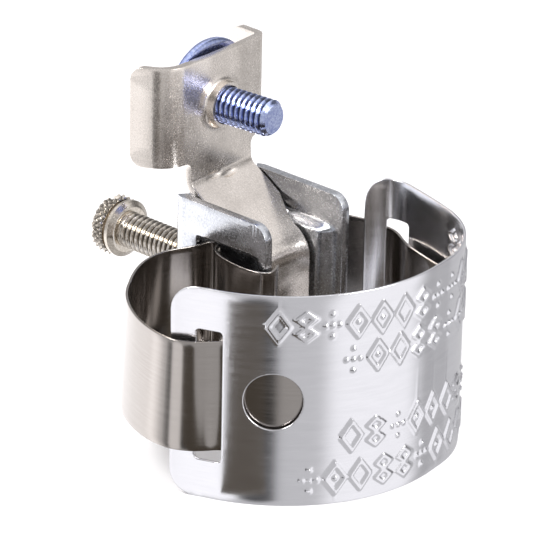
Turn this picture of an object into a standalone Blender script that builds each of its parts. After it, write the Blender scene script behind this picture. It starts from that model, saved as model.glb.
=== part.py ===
"""Pipe ground clamp: a strap round the pipe, a screw and saddle that tighten it, and a cable terminal.

Lengths are in millimetres until a mesh is finished, and +Z is up. The drawing frame has X along the clamp
screw, from its head towards the pipe, Y across the bracket, and Z = 0 at the bracket's lower edge. At the
end everything moves together, so that the origin is at the bottom centre of the whole clamp.
"""

import math

import bmesh
import bpy
from mathutils import Matrix, Vector

MM = 0.001

# U-shaped bracket, bent from sheet steel and open towards the pipe.
BRACKET_SHEET = 1.5
BRACKET_WIDTH = 19.0
BRACKET_HEIGHT = 32.6
BRACKET_BACK_X = -12.1
BRACKET_FRONT_X = 8.0
BRACKET_BEND_RADIUS = 1.85
BRACKET_CORNER_RADIUS = 2.6
NECK_NOTCH_REACH = 8.6
NECK_NOTCH_DEPTH = 1.2
STRAP_SLOT_X = (-6.6, -2.9)
STRAP_SLOT_Z = (6.7, 27.3)
CLAMP_SCREW_Z = 18.0
CLAMP_BORE_RADIUS = 3.25
PRESS_DEPTH = 1.5
PRESS_X = (3.8, 7.2)
PRESS_FADE = 1.6

# Clamping strap: one long thin strip, threaded through the tag and both bracket slots.
STRAP_SHEET = 0.4
STRAP_WIDTH = 17.5
STRAP_CENTRE_Z = 17.0
STRAP_DROP = 0.8
STRAP_LEAN = 1.0
STRAP_INSIDE_TAG = 1.35
TAIL_ROUTE = [
    (7.5, -6.1), (8.4, -7.5), (8.85, -9.0), (8.3, -10.1), (6.8, -10.7), (4.4, -10.9), (1.5, -10.6),
    (-1.2, -9.9), (-3.3, -8.7), (-4.3, -7.3), (-5.2, -6.95), (-5.8, -7.6), (-6.0, -8.9),
]
NEAR_LOOP_ROUTE = [
    (-6.3, -10.2), (-7.0, -12.0), (-7.8, -14.2), (-8.05, -16.6), (-7.75, -19.1), (-6.9, -21.6),
    (-5.4, -24.4), (-3.7, -26.9), (-1.9, -29.3), (0.2, -31.4), (3.0, -33.5), (6.2, -35.3),
    (9.4, -36.5), (12.4, -37.1), (15.2, -37.0), (17.5, -35.95), (19.2, -34.35), (21.0, -32.4),
]
TAG_STATIONS = [13, 17, 21, 25, 29, 33, 37, 41, 45, 49, 53, 57, 61, 65]
FAR_LOOP_ROUTE = [
    (23.0, 12.7), (19.4, 13.7), (16.0, 14.8), (13.4, 16.1), (11.4, 17.3), (9.4, 17.95), (6.5, 18.05),
    (3.3, 17.75), (0.2, 16.8), (-2.4, 15.3), (-4.1, 13.2), (-4.8, 11.0), (-4.95, 9.0), (-5.4, 7.75),
    (-6.6, 7.3), (-8.6, 7.35),
]

# Identification tag: a curved plate carried by the strap on the side away from the bracket.
TAG_SHEET = 0.5
TAG_HEIGHT = 34.0
TAG_CORNER_RADIUS = 4.0
TAG_START = (14.2, -36.6)
TAG_HEADING = 27.5
TAG_BENDS = [(6.4, -7.0), (38.0, 79.0), (3.0, 0.0), (20.8, 62.0), (10.6, 5.0), (8.4, 74.0)]
TAG_SLOT_MARGIN = 3.9
TAG_NEAR_SLOT_WIDTH = 4.2
TAG_FAR_SLOT_WIDTH = 4.8
TAG_SLOT_Z = (6.2, 27.4)
TAG_SLOT_CORNER = 0.6
TAG_HOLE_STATION = 15.9
TAG_HOLE_RADIUS = 4.5

# Terminal plate: one strip that is a saddle below, slopes back over the bracket and ends in an eared head.
PLATE_SHEET = 1.3
SADDLE_HALF_WIDTH = 5.75
NEAR_NECK_WIDTH = 6.9
FAR_NECK_WIDTH = 7.6
SADDLE_X = 2.7
SADDLE_Z = 2.1
SADDLE_HOLLOW = 1.3
PLATE_BENDS = [(19.78, 0.0), (3.98, 57.0), (13.28, 0.0), (2.388, -57.0), (19.1, 0.0)]
SADDLE_FADE = (15.0, 22.0)
HEAD_START = 42.3
NECK_TAPER = (26.5, 31.0)
HEAD_CORNER_RADIUS = 2.0
NECK_FILLET = 1.2
EAR_REACH = 16.6
NEAR_EAR_BEND = (8.0, 66.0, 4.5)
FAR_EAR_BEND = (9.5, 84.0, 1.45)
HEAD_TWIST = math.radians(4.0)
TERMINAL_SCREW_Z = 45.3
BOSS_RADIUS = 3.75
BOSS_BORE_RADIUS = 3.25
BOSS_HEIGHT = 1.4

# Screws and washer.
THREAD_RADIUS = 2.95
THREAD_CHAMFER = 0.7
FIT_GAP = 0.3
CLAMP_HEAD_END_X = -34.6
KNURL_LENGTH = 2.45
KNURL_RADIUS = 4.9
GROOVE_LENGTH = 0.4
GROOVE_RADIUS = 3.9
COLLAR_LENGTH = 1.6
COLLAR_RADIUS = 4.7
CLAMP_SLOT_WIDTH = 1.5
CLAMP_SLOT_DEPTH = 1.5
WASHER_RADIUS = 9.8
WASHER_BORE_RADIUS = 3.3
WASHER_SHEET = 1.2
WASHER_EDGE = 0.3
WASHER_GAP = 0.9
TERMINAL_TIP = 11.2
PAN_RADIUS = 5.6
PAN_HEIGHT = 3.2
PAN_SLOT_WIDTH = 1.5
PAN_SLOT_DEPTH = 1.5

TURNED_STEPS = 32
CORNER_STEPS = 4
HOLE_STEPS = 24

STEEL = ((0.62, 0.64, 0.67), 0.38)
STRAP_FINISH = ((0.50, 0.46, 0.42), 0.28)
ALUMINIUM = ((0.78, 0.79, 0.82), 0.34)
NICKEL = ((0.70, 0.65, 0.59), 0.34)
BLUE_ZINC = ((0.34, 0.38, 0.78), 0.26)


# Paths in a plane.


class BentPath:
    """Straight runs and arcs joined end to end. Each bend is (length, turn in degrees, to the left)."""

    def __init__(self, start, heading, bends):
        self.runs = []
        self.length = 0.0
        point = Vector(start)
        angle = math.radians(heading)
        for length, turn in bends:
            self.runs.append((self.length, length, point.copy(), angle, math.radians(turn)))
            point = self._along(point, angle, length, math.radians(turn), length)[0]
            angle += math.radians(turn)
            self.length += length

    @staticmethod
    def _along(point, angle, length, turn, distance):
        """The point and heading at a distance along one run."""
        if abs(turn) < 1e-9:
            return point + distance * Vector((math.cos(angle), math.sin(angle))), angle
        radius = length / turn
        end = angle + distance / radius
        offset = Vector((math.sin(end) - math.sin(angle), math.cos(angle) - math.cos(end)))
        return point + radius * offset, end

    def at(self, distance):
        """The point and the unit normal to the left, at a distance along the path."""
        run = self.runs[0]
        for candidate in self.runs:
            if distance >= candidate[0]:
                run = candidate
        begin, length, point, angle, turn = run
        place, heading = self._along(point, angle, length, turn, distance - begin)
        return place, Vector((-math.sin(heading), math.cos(heading)))

    def stations(self, most_turn=9.0, most_length=12.0):
        """Distances at which a sheet that follows this path needs an edge."""
        found = []
        for begin, length, _, _, turn in self.runs:
            steps = max(1, math.ceil(abs(math.degrees(turn)) / most_turn), math.ceil(length / most_length))
            found += [begin + length * i / steps for i in range(steps)]
        return found[1:]


class SmoothRoute:
    """A smooth curve through a few chosen points, measured by the distance along it."""

    def __init__(self, route, steps=5):
        ends = [2 * Vector(route[0]) - Vector(route[1]), 2 * Vector(route[-1]) - Vector(route[-2])]
        knots = [ends[0]] + [Vector(point) for point in route] + [ends[1]]
        self.steps = steps
        self.points = []
        for i in range(1, len(knots) - 2):
            self.points += [self._blend(knots[i - 1 : i + 3], j / steps) for j in range(steps)]
        self.points.append(knots[-2])
        self.marks = [0.0]
        for before, after in zip(self.points, self.points[1:]):
            self.marks.append(self.marks[-1] + (after - before).length)
        self.length = self.marks[-1]

    @staticmethod
    def _blend(knots, share):
        """Catmull-Rom blend between the two middle knots."""
        a, b, c, d = knots
        return 0.5 * (
            2 * b
            + (c - a) * share
            + (2 * a - 5 * b + 4 * c - d) * share**2
            + (3 * b - a - 3 * c + d) * share**3
        )

    def at(self, distance):
        """The point and the unit normal to the left, at a distance along the route."""
        i = 0
        while i < len(self.marks) - 2 and self.marks[i + 1] < distance:
            i += 1
        span = self.marks[i + 1] - self.marks[i]
        share = (distance - self.marks[i]) / span
        place = self.points[i].lerp(self.points[i + 1], share)
        along = self._tangent(i).lerp(self._tangent(i + 1), share).normalized()
        return place, Vector((-along.y, along.x))

    def _tangent(self, i):
        before = self.points[max(i - 1, 0)]
        after = self.points[min(i + 1, len(self.points) - 1)]
        return (after - before).normalized()

    def stations(self):
        return self.marks[1:-1]


def ramp(value, start, end):
    """0 before start, 1 after end, and smooth between them."""
    share = min(1.0, max(0.0, (value - start) / (end - start)))
    return share * share * (3 - 2 * share)


# Flat outlines.


def arc_points(centre, radius, start, end, steps):
    """Points of an arc, with its angles in degrees."""
    angles = [math.radians(start + (end - start) * i / steps) for i in range(steps + 1)]
    return [(centre[0] + radius * math.cos(a), centre[1] + radius * math.sin(a)) for a in angles]


def circle(centre, radius, steps=HOLE_STEPS):
    return arc_points(centre, radius, 0, 360, steps)[:-1]


def rounded_box(low, high, radius, steps=CORNER_STEPS):
    (x0, y0), (x1, y1) = low, high
    corners = [(x1 - radius, y0 + radius, -90), (x1 - radius, y1 - radius, 0)]
    corners += [(x0 + radius, y1 - radius, 90), (x0 + radius, y0 + radius, 180)]
    points = []
    for x, y, start in corners:
        points += arc_points((x, y), radius, start, start + 90, steps)
    return points


# Sheet metal.


def fill(mesh, loops):
    """Adds flat faces inside the first loop and outside the others."""
    edges = []
    for loop in loops:
        verts = [mesh.verts.new((x, y, 0)) for x, y in loop]
        edges += [mesh.edges.new(pair) for pair in zip(verts, verts[1:] + verts[:1])]
    bmesh.ops.triangle_fill(mesh, edges=edges, use_beauty=True)


def cut_across(mesh, axis, places):
    """Adds edges across the flat sheet, where it will bend."""
    normal = Vector((axis == 0, axis == 1, 0))
    for place in places:
        geometry = mesh.verts[:] + mesh.edges[:] + mesh.faces[:]
        bmesh.ops.bisect_plane(mesh, geom=geometry, dist=1e-5, plane_co=normal * place, plane_no=normal)


def thicken(mesh, thickness):
    """Turns the flat sheet into a plate with its middle at height 0."""
    made = bmesh.ops.extrude_face_region(mesh, geom=mesh.faces[:])["geom"]
    raised = {item for item in made if isinstance(item, bmesh.types.BMVert)}
    for vert in mesh.verts:
        vert.co.z = thickness / 2 if vert in raised else -thickness / 2


def raise_collar(mesh, centre, radius, height):
    """Raises the plate's upper faces that lie within a radius of a hole's centre."""
    top = max(vert.co.z for vert in mesh.verts)
    ring = []
    for face in mesh.faces:
        middle = face.calc_center_median()
        near = math.hypot(middle.x - centre[0], middle.y - centre[1]) < radius
        if near and all(abs(vert.co.z - top) < 1e-6 for vert in face.verts):
            ring.append(face)
    made = bmesh.ops.extrude_face_region(mesh, geom=ring)["geom"]
    bmesh.ops.delete(mesh, geom=ring, context="FACES")
    for item in made:
        if isinstance(item, bmesh.types.BMVert):
            item.co.z += height


def sheet_object(name, mesh, bend, finish):
    """Bends the flat plate: bend(along, across, height) gives each point's place in the drawing frame."""
    for vert in mesh.verts:
        vert.co = MM * bend(*vert.co)
    bmesh.ops.recalc_face_normals(mesh, faces=mesh.faces[:])
    return new_object(name, mesh, finish)


# Objects.


def new_object(name, mesh, finish):
    data = bpy.data.meshes.new(name)
    mesh.to_mesh(data)
    mesh.free()
    data.shade_smooth()
    data.set_sharp_from_angle(angle=math.radians(30))
    obj = bpy.data.objects.new(name, data)
    if finish:
        data.materials.append(metal(name, *finish))
    return obj


def metal(name, colour, roughness):
    material = bpy.data.materials.new(name)
    material.use_nodes = True
    shader = material.node_tree.nodes["Principled BSDF"]
    shader.inputs["Base Color"].default_value = (*colour, 1.0)
    shader.inputs["Roughness"].default_value = roughness
    shader.inputs["Metallic"].default_value = 1.0
    return material


def turned_object(name, profile, finish):
    """A turned piece along its own Z. The profile is (radius, height) pairs, down its outer side."""
    mesh = bmesh.new()
    verts = [mesh.verts.new((radius * MM, 0, height * MM)) for radius, height in profile]
    for pair in zip(verts, verts[1:]):
        mesh.edges.new(pair)
    if profile[0][0] > 0:
        mesh.edges.new((verts[-1], verts[0]))
    obj = new_object(name, mesh, finish)
    screw = obj.modifiers.new("turn", "SCREW")
    screw.steps = TURNED_STEPS
    screw.render_steps = TURNED_STEPS
    screw.use_merge_vertices = True
    screw.merge_threshold = 1e-6
    return obj


def box_cutter(name, low, high):
    mesh = bmesh.new()
    bmesh.ops.create_cube(mesh, size=1.0)
    for vert in mesh.verts:
        vert.co = MM * Vector([high[i] if vert.co[i] > 0 else low[i] for i in range(3)])
    cutter = new_object(name, mesh, None)
    cutter.hide_render = True
    cutter.display_type = "WIRE"
    return cutter


def cut(obj, cutter):
    cutter.parent = obj
    boolean = obj.modifiers.new("driver_slot", "BOOLEAN")
    boolean.operation = "DIFFERENCE"
    boolean.solver = "EXACT"
    boolean.object = cutter


# The pieces.


def tag_path():
    return BentPath(TAG_START, TAG_HEADING, TAG_BENDS)


def make_bracket():
    """The flat blank runs from the near flange's front edge, round the web, to the far flange's."""
    inner = BRACKET_BEND_RADIUS
    flange = BRACKET_FRONT_X - BRACKET_BACK_X - BRACKET_SHEET / 2 - inner
    web = BRACKET_WIDTH - BRACKET_SHEET - 2 * inner
    quarter = inner * math.pi / 2
    near_y = -(BRACKET_WIDTH - BRACKET_SHEET) / 2
    bends = [(flange, 0.0), (quarter, -90.0), (web, 0.0), (quarter, -90.0), (flange, 0.0)]
    path = BentPath((BRACKET_FRONT_X, near_y), 180.0, bends)

    def station(x):
        return BRACKET_FRONT_X - x

    slots = []
    for mirror in (lambda s: s, lambda s: path.length - s):
        ends = sorted((mirror(station(STRAP_SLOT_X[0])), mirror(station(STRAP_SLOT_X[1]))))
        slots.append(rounded_box((ends[0], STRAP_SLOT_Z[0]), (ends[1], STRAP_SLOT_Z[1]), 0.4, 2))
    bore = circle((path.length / 2, CLAMP_SCREW_Z), CLAMP_BORE_RADIUS)
    outline = rounded_box((0, 0), (path.length, BRACKET_HEIGHT), BRACKET_CORNER_RADIUS)
    notch = [(path.length / 2 + side * NECK_NOTCH_REACH, BRACKET_HEIGHT) for side in (1, -1)]
    floor = [(along, across - NECK_NOTCH_DEPTH) for along, across in notch]
    top = len(outline) // 2
    outline[top:top] = [notch[0], *floor, notch[1]]

    mesh = bmesh.new()
    fill(mesh, [outline, bore, *slots])
    press = [station(PRESS_X[1] - (PRESS_X[1] - PRESS_X[0]) * i / 5) for i in range(6)]
    cut_across(mesh, 0, path.stations() + press + [path.length - s for s in press])
    fades = [STRAP_SLOT_Z[0] - 0.4 + PRESS_FADE * i / 4 for i in range(5)]
    fades += [STRAP_SLOT_Z[1] + 0.4 - PRESS_FADE * i / 4 for i in range(5)]
    cut_across(mesh, 1, fades)
    thicken(mesh, BRACKET_SHEET)

    def bend(along, across, height):
        place, outward = path.at(along)
        x = BRACKET_FRONT_X - min(along, path.length - along)
        low, high = STRAP_SLOT_Z
        pressed = PRESS_DEPTH * (1 - ramp(x, *PRESS_X)) * (x > STRAP_SLOT_X[0] + 1)
        pressed *= ramp(across, low - 0.4, low - 0.4 + PRESS_FADE)
        pressed *= 1 - ramp(across, high + 0.4 - PRESS_FADE, high + 0.4)
        place = place + outward * (height - pressed)
        return Vector((*place, across))

    return sheet_object("bracket", mesh, bend, STEEL)


def strap_route():
    """The strap's middle line, from the folded tail round the pipe to the hook behind the far flange."""
    tag = tag_path()
    inside = []
    for distance in TAG_STATIONS:
        place, inward = tag.at(distance)
        inside.append(tuple(place + STRAP_INSIDE_TAG * inward))
    return SmoothRoute(TAIL_ROUTE + NEAR_LOOP_ROUTE + inside + FAR_LOOP_ROUTE)


def near_loop_hump(route, along):
    """0 at both ends of the near loop and beyond them, 1 half way along it."""
    first = len(TAIL_ROUTE) * route.steps
    last = first + len(NEAR_LOOP_ROUTE) * route.steps
    start, end = route.marks[first], route.marks[last]
    share = min(1.0, max(0.0, (along - start) / (end - start)))
    return math.sin(math.pi * share)


def make_strap():
    """The near loop's lower edge leans outwards."""
    route = strap_route()
    mesh = bmesh.new()
    fill(mesh, [rounded_box((0, -STRAP_WIDTH / 2), (route.length, STRAP_WIDTH / 2), 0.6, 2)])
    cut_across(mesh, 0, route.stations())
    thicken(mesh, STRAP_SHEET)

    def bend(along, across, height):
        place, left = route.at(along)
        lean = STRAP_LEAN * near_loop_hump(route, along) * (across / STRAP_WIDTH - 0.5)
        place = place + (height + lean) * left
        drop = STRAP_DROP * ramp(along / route.length, 0.3, 0.8)
        return Vector((*place, STRAP_CENTRE_Z - drop + across))

    return sheet_object("strap", mesh, bend, STRAP_FINISH)


def make_tag():
    path = tag_path()
    low, high = TAG_SLOT_Z
    far_end = path.length - TAG_SLOT_MARGIN
    near = (TAG_SLOT_MARGIN, TAG_SLOT_MARGIN + TAG_NEAR_SLOT_WIDTH)
    far = (far_end - TAG_FAR_SLOT_WIDTH, far_end)
    slots = [rounded_box((start, low), (end, high), TAG_SLOT_CORNER, 2) for start, end in (near, far)]
    hole = circle((TAG_HOLE_STATION, TAG_HEIGHT / 2), TAG_HOLE_RADIUS)
    mesh = bmesh.new()
    outline = rounded_box((0, 0), (path.length, TAG_HEIGHT), TAG_CORNER_RADIUS)
    fill(mesh, [outline, hole, *slots])
    cut_across(mesh, 0, path.stations(most_turn=6.0))
    thicken(mesh, TAG_SHEET)

    def bend(along, across, height):
        place, inward = path.at(along)
        place = place + (TAG_SHEET / 2 + height) * inward
        return Vector((*place, across))

    return sheet_object("identification_tag", mesh, bend, ALUMINIUM)


def plate_path():
    """The terminal plate's middle surface, as X and Z, from the foot of the saddle up."""
    return BentPath((SADDLE_X, SADDLE_Z), 90.0, PLATE_BENDS)


def head_x():
    return plate_path().at(plate_path().length)[0].x


def plate_side(length, neck):
    """One side of the strip's edge: saddle, neck, fillet, then the head with its ear."""
    corner = HEAD_CORNER_RADIUS
    side = [(0.0, SADDLE_HALF_WIDTH - 0.8), (0.8, SADDLE_HALF_WIDTH), (NECK_TAPER[0], SADDLE_HALF_WIDTH)]
    side += [(NECK_TAPER[1], neck)]
    side += arc_points((HEAD_START - NECK_FILLET, neck + NECK_FILLET), NECK_FILLET, -90, 0, 3)
    side += arc_points((HEAD_START + corner, EAR_REACH - corner), corner, 180, 90, CORNER_STEPS)
    return side + arc_points((length - corner, EAR_REACH - corner), corner, 90, 0, CORNER_STEPS)


def plate_outline(length):
    near = plate_side(length, NEAR_NECK_WIDTH)
    return plate_side(length, FAR_NECK_WIDTH) + [(along, -across) for along, across in reversed(near)]


def ear_path(start, angle, radius):
    """Across the head: flat, then an ear that turns back. The path runs out from the middle."""
    turn = radius * math.radians(angle)
    return BentPath((0, 0), 0.0, [(start, 0.0), (turn, angle), (EAR_REACH, 0.0)])


def make_terminal_plate():
    path = plate_path()
    near_ear = ear_path(*NEAR_EAR_BEND)
    far_ear = ear_path(*FAR_EAR_BEND)
    head_top = path.at(path.length)[0].y
    boss = (path.length - (head_top - TERMINAL_SCREW_Z), 0.0)
    mesh = bmesh.new()
    fill(mesh, [plate_outline(path.length), circle(boss, BOSS_RADIUS)])
    fill(mesh, [circle(boss, BOSS_RADIUS), circle(boss, BOSS_BORE_RADIUS)])
    bmesh.ops.remove_doubles(mesh, verts=mesh.verts[:], dist=1e-5)
    fades = [SADDLE_FADE[0] + (SADDLE_FADE[1] - SADDLE_FADE[0]) * i / 4 for i in range(5)]
    cut_across(mesh, 0, path.stations() + fades)
    folds = [-SADDLE_HALF_WIDTH + SADDLE_HALF_WIDTH * i / 4 for i in range(1, 8)]
    folds += far_ear.stations(most_turn=15.0, most_length=99.0)
    folds += [-place for place in near_ear.stations(most_turn=15.0, most_length=99.0)]
    cut_across(mesh, 1, folds)
    thicken(mesh, PLATE_SHEET)
    raise_collar(mesh, boss, BOSS_RADIUS, BOSS_HEIGHT)

    def bend(along, across, height):
        ear = far_ear if across > 0 else near_ear
        place, back = ear.at(abs(across))
        lateral = math.copysign(place.x - height * back.x, across)
        forward = height * back.y - place.y
        hollow = 1 - min(1.0, (across / SADDLE_HALF_WIDTH) ** 2)
        forward -= SADDLE_HOLLOW * hollow * (1 - ramp(along, *SADDLE_FADE))
        middle, left = path.at(along)
        x = middle.x - forward * left.x
        z = middle.y - forward * left.y
        twist = HEAD_TWIST * ramp(along, NECK_TAPER[0], HEAD_START)
        offset = Matrix.Rotation(twist, 2) @ Vector((x - head_x(), lateral))
        return Vector((head_x() + offset.x, offset.y, z))

    return sheet_object("terminal_plate", mesh, bend, NICKEL)


def make_clamp_screw():
    """Knurled and slotted head, collar and thread. Its own Z runs from the tip back to the head."""
    tip = SADDLE_X - SADDLE_HOLLOW - PLATE_SHEET / 2 - FIT_GAP
    length = tip - CLAMP_HEAD_END_X
    knurl = length - KNURL_LENGTH
    groove = knurl - GROOVE_LENGTH
    collar = groove - COLLAR_LENGTH
    profile = [
        (0, length), (KNURL_RADIUS - 0.5, length), (KNURL_RADIUS, length - 0.5), (KNURL_RADIUS, knurl + 0.4),
        (KNURL_RADIUS - 0.4, knurl), (GROOVE_RADIUS, knurl), (GROOVE_RADIUS, groove),
        (COLLAR_RADIUS - 0.3, groove), (COLLAR_RADIUS, groove - 0.3), (COLLAR_RADIUS, collar + 0.8),
        (COLLAR_RADIUS - 0.8, collar), (THREAD_RADIUS, collar), (THREAD_RADIUS, THREAD_CHAMFER),
        (THREAD_RADIUS - THREAD_CHAMFER, 0), (0, 0),
    ]
    screw = turned_object("clamp_screw", profile, NICKEL)
    half = CLAMP_SLOT_WIDTH / 2
    reach = KNURL_RADIUS + 1
    low = (-reach, -half, length - CLAMP_SLOT_DEPTH)
    cut(screw, box_cutter("clamp_screw_slot", low, (reach, half, length + 1)))
    screw.rotation_euler = (0, -math.pi / 2, 0)
    screw.location = MM * Vector((tip, 0, CLAMP_SCREW_Z))
    return screw


def make_terminal_washer():
    edge = WASHER_EDGE
    profile = [
        (WASHER_BORE_RADIUS, WASHER_SHEET), (WASHER_RADIUS - edge, WASHER_SHEET),
        (WASHER_RADIUS, WASHER_SHEET - edge), (WASHER_RADIUS, edge), (WASHER_RADIUS - edge, 0),
        (WASHER_BORE_RADIUS, 0),
    ]
    washer = turned_object("terminal_washer", profile, BLUE_ZINC)
    washer.rotation_euler = (0, math.pi / 2, 0)
    washer.location.x = -MM * (PLATE_SHEET / 2 + WASHER_GAP + WASHER_SHEET)
    return washer


def make_terminal_screw():
    """Slotted pan head behind the washer, with the thread through the plate's tapped collar."""
    seat = -(PLATE_SHEET / 2 + WASHER_GAP + WASHER_SHEET + FIT_GAP)
    top = seat - PAN_HEIGHT
    length = TERMINAL_TIP - top
    crown = PAN_HEIGHT * 0.35
    profile = [
        (0, length), (THREAD_RADIUS - THREAD_CHAMFER, length), (THREAD_RADIUS, length - THREAD_CHAMFER),
        (THREAD_RADIUS, PAN_HEIGHT), (PAN_RADIUS, PAN_HEIGHT), (PAN_RADIUS, crown),
        (PAN_RADIUS - 0.5, crown * 0.4), (PAN_RADIUS - 1.4, 0), (0, 0),
    ]
    screw = turned_object("terminal_screw", profile, BLUE_ZINC)
    half = PAN_SLOT_WIDTH / 2
    reach = PAN_RADIUS + 1
    cut(screw, box_cutter("terminal_screw_slot", (-reach, -half, -1), (reach, half, PAN_SLOT_DEPTH)))
    screw.rotation_euler = (0, math.pi / 2, 0)
    screw.location.x = MM * top
    return screw


def clear_scene():
    for obj in list(bpy.data.objects):
        bpy.data.objects.remove(obj, do_unlink=True)


def new_collection(name):
    collection = bpy.data.collections.new(name)
    bpy.context.scene.collection.children.link(collection)
    return collection


def new_empty(name, parent, place):
    empty = bpy.data.objects.new(name, None)
    empty.parent = parent
    empty.location = MM * Vector(place)
    return empty


def stand_at_origin(frame, pieces):
    """Moves the drawing frame so that the origin is at the bottom centre of all the pieces."""
    bpy.context.view_layer.update()
    graph = bpy.context.evaluated_depsgraph_get()
    corners = []
    for piece in pieces:
        shown = piece.evaluated_get(graph)
        corners += [shown.matrix_world @ vert.co for vert in shown.data.vertices]
    low = [min(corner[i] for corner in corners) for i in range(3)]
    high = [max(corner[i] for corner in corners) for i in range(3)]
    frame.location -= Vector(((low[0] + high[0]) / 2, (low[1] + high[1]) / 2, low[2]))


def main():
    clear_scene()
    clamp = new_collection("ground_clamp")
    cutters = new_collection("cutters")
    frame = new_empty("clamp_frame", None, (0, 0, 0))
    terminal = new_empty("terminal_axis", frame, (head_x(), 0, TERMINAL_SCREW_Z))
    terminal.rotation_euler.z = HEAD_TWIST
    fixed = [make_bracket(), make_strap(), make_tag(), make_terminal_plate(), make_clamp_screw()]
    on_terminal = [make_terminal_washer(), make_terminal_screw()]
    for piece in fixed:
        piece.parent = frame
    for piece in on_terminal:
        piece.parent = terminal
    for obj in [frame, terminal, *fixed, *on_terminal]:
        clamp.objects.link(obj)
    for piece in fixed + on_terminal:
        for child in piece.children:
            cutters.objects.link(child)
    stand_at_origin(frame, fixed + on_terminal)


main()
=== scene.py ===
"""Pipe ground clamp: fine surfaces, materials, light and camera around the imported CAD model.

Shapes are drawn in millimetres in the drawing frame: X runs along the clamp screw from its head towards
the pipe, Y across the bracket, and Z = 0 is the bracket's lower edge. place() turns a drawing point into
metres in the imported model's frame. Every sheet piece is a flat blank, cut to its outline and then bent
along its path.
"""

import bisect
import math

import bmesh
import bpy
from mathutils import Matrix, Vector


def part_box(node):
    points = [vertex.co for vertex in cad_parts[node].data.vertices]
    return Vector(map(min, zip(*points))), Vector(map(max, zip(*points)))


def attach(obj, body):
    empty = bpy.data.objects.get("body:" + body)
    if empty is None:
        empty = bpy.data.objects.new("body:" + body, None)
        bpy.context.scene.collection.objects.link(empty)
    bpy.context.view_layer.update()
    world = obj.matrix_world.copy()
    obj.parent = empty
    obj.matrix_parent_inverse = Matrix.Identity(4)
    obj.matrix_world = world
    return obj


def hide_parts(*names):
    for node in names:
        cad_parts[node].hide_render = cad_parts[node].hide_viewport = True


MM = 0.001
UV_SPAN = 100.0
CREASE_ANGLE = 32.0

# Bracket.
BRACKET_SHEET = 1.5
BRACKET_WIDTH = 19.0
BRACKET_HEIGHT = 32.6
BRACKET_BACK_X = -12.1
BRACKET_FRONT_X = 8.0
BRACKET_BEND_RADIUS = 1.85
BRACKET_CORNER_RADIUS = 2.6
BRACKET_RIM = 0.22
BORE_GAP = 0.05
NECK_NOTCH_REACH = 8.6
NECK_NOTCH_DEPTH = 1.2
STRAP_SLOT_X = (-6.6, -2.9)
STRAP_SLOT_Z = (6.7, 27.3)
STRAP_SLOT_CORNER = 0.4
CLAMP_SCREW_Z = 18.0
PRESS_DEPTH = 1.5
PRESS_X = (3.8, 7.2)
PRESS_FADE = 1.6
PRESS_MARGIN = 0.4

# Strap.
STRAP_SHEET = 0.4
STRAP_RIM = 0.1
STRAP_CORNER = 0.6
STRAP_WIDTH = 17.5
STRAP_CENTRE_Z = 17.0
STRAP_DROP = 0.8
STRAP_LEAN = 1.0
STRAP_INSIDE_TAG = 1.35
TAIL_ROUTE = [
    (7.5, -6.1), (8.4, -7.5), (8.85, -9.0), (8.3, -10.1), (6.8, -10.7), (4.4, -10.9), (1.5, -10.6),
    (-1.2, -9.9), (-3.3, -8.7), (-4.3, -7.3), (-5.2, -6.95), (-5.8, -7.6), (-6.0, -8.9),
]
NEAR_LOOP_ROUTE = [
    (-6.3, -10.2), (-7.0, -12.0), (-7.8, -14.2), (-8.05, -16.6), (-7.75, -19.1), (-6.9, -21.6),
    (-5.4, -24.4), (-3.7, -26.9), (-1.9, -29.3), (0.2, -31.4), (3.0, -33.5), (6.2, -35.3),
    (9.4, -36.5), (12.4, -37.1), (15.2, -37.0), (17.5, -35.95), (19.2, -34.35), (21.0, -32.4),
]
TAG_STATIONS = [13, 17, 21, 25, 29, 33, 37, 41, 45, 49, 53, 57, 61, 65]
FAR_LOOP_ROUTE = [
    (23.0, 12.7), (19.4, 13.7), (16.0, 14.8), (13.4, 16.1), (11.4, 17.3), (9.4, 17.95), (6.5, 18.05),
    (3.3, 17.75), (0.2, 16.8), (-2.4, 15.3), (-4.1, 13.2), (-4.8, 11.0), (-4.95, 9.0), (-5.4, 7.75),
    (-6.6, 7.3), (-8.6, 7.35),
]

# Identification tag. Its sheet lies a little inside the CAD tag's outer face, so that the embossing fits.
TAG_SHEET = 0.42
TAG_INSET = 0.3
TAG_RIM = 0.12
TAG_HEIGHT = 34.0
TAG_CORNER_RADIUS = 4.0
TAG_START = (14.2, -36.6)
TAG_HEADING = 27.5
TAG_BENDS = [(6.4, -7.0), (38.0, 79.0), (3.0, 0.0), (20.8, 62.0), (10.6, 5.0), (8.4, 74.0)]
TAG_SLOT_MARGIN = 3.9
TAG_NEAR_SLOT_WIDTH = 4.2
TAG_FAR_SLOT_WIDTH = 4.8
TAG_SLOT_Z = (6.2, 27.4)
TAG_SLOT_CORNER = 0.6
TAG_HOLE_STATION = 15.9
TAG_HOLE_RADIUS = 4.5

# Embossed marks. Each row is (middle, start, end), and each band of fine cells is (low, high).
EMBOSS_HEIGHT = 0.3
EMBOSS_PITCH = 4.05
EMBOSS_REACH = 3.0
EMBOSS_STROKE = (0.12, 0.55)
EMBOSS_ROWS = [(29.2, 14.5, 70.0), (23.3, 26.0, 61.0), (10.8, 26.0, 61.0), (4.2, 19.5, 65.0)]
EMBOSS_BANDS = [(1.1, 13.9), (20.2, 32.3)]
EMBOSS_GRID = 0.25

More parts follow.
